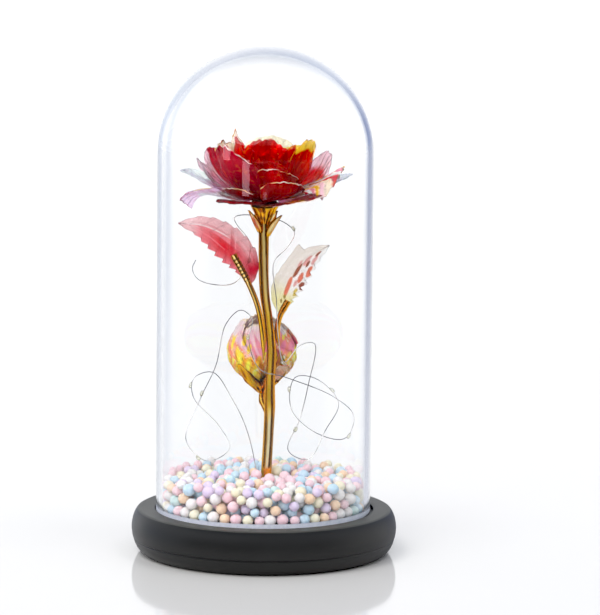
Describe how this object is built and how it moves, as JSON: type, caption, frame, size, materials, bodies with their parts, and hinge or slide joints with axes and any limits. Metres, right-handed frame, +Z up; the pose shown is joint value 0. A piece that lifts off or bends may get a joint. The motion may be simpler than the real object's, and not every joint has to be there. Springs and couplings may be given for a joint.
{
  "type": "artificial rose in glass dome",
  "caption": "Artificial rose of coloured film petals with leaves, a bud and a fairy-light wire, standing in foam beads under a clear round-topped dome on a dark round base.",
  "frame": {"origin": "middle of the base's underside, on the surface it stands on", "axes": "+Z up along the dome; -Y towards the picture's viewer; +X to the viewer's right"},
  "size_m": [0.115, 0.115, 0.22],
  "materials": {
    "dark_base": "satin dark grey, slightly ribbed by moulding",
    "clear_glass": "clear, polished",
    "pastel_foam": "small foam beads in white, pink, blue, peach and yellow",
    "gold_plate": "bright gold plating",
    "red_film": "glossy translucent red film",
    "pink_film": "glossy translucent pink and red film",
    "pearl_film": "glossy clear film with a pearly sheen",
    "leaf_red_film": "glossy translucent red film",
    "silver_wire": "bright thin wire",
    "clear_drop": "clear resin"
  },
  "bodies": {
    "root": {"base": "dark_base", "base_cover": "dark_base", "glass_dome": "clear_glass", "bead_bed": "pastel_foam", "stem": "gold_plate", "leaf_stalk_left": "gold_plate", "leaf_stalk_right": "gold_plate", "bud_stalk": "gold_plate", "calyx": "gold_plate", "bud_calyx": "gold_plate", "petal_outer_1": "pearl_film", "petal_outer_2": "pearl_film", "petal_outer_3": "pearl_film", "petal_outer_4": "pearl_film", "petal_outer_5": "pearl_film", "petal_outer_6": "pearl_film", "petal_outer_7": "pearl_film", "petal_second_1": "pink_film", "petal_second_2": "pink_film", "petal_second_3": "pink_film", "petal_second_4": "pink_film", "petal_second_5": "pink_film", "petal_second_6": "pink_film", "petal_second_7": "pink_film", "petal_second_8": "pink_film", "petal_third_1": "red_film", "petal_third_2": "red_film", "petal_third_3": "red_film", "petal_third_4": "red_film", "petal_third_5": "red_film", "petal_fourth_1": "red_film", "petal_fourth_2": "red_film", "petal_fourth_3": "red_film", "petal_fourth_4": "red_film", "petal_heart_1": "red_film", "petal_heart_2": "red_film", "petal_heart_3": "red_film", "bud_petal_outer_1": "pink_film", "bud_petal_outer_2": "pink_film", "bud_petal_outer_3": "pink_film", "bud_petal_outer_4": "pink_film", "bud_petal_outer_5": "pink_film", "bud_petal_inner_1": "red_film", "bud_petal_inner_2": "red_film", "bud_petal_inner_3": "red_film", "bud_petal_inner_4": "red_film", "leaf_left": "leaf_red_film", "leaf_right": "pearl_film", "light_wire": "silver_wire", "led_1": "clear_drop", "led_2": "clear_drop", "led_3": "clear_drop", "led_4": "clear_drop", "led_5": "clear_drop", "led_6": "clear_drop", "led_7": "clear_drop", "led_8": "clear_drop", "led_9": "clear_drop", "led_10": "clear_drop", "led_11": "clear_drop"}
  },
  "joints": []
}
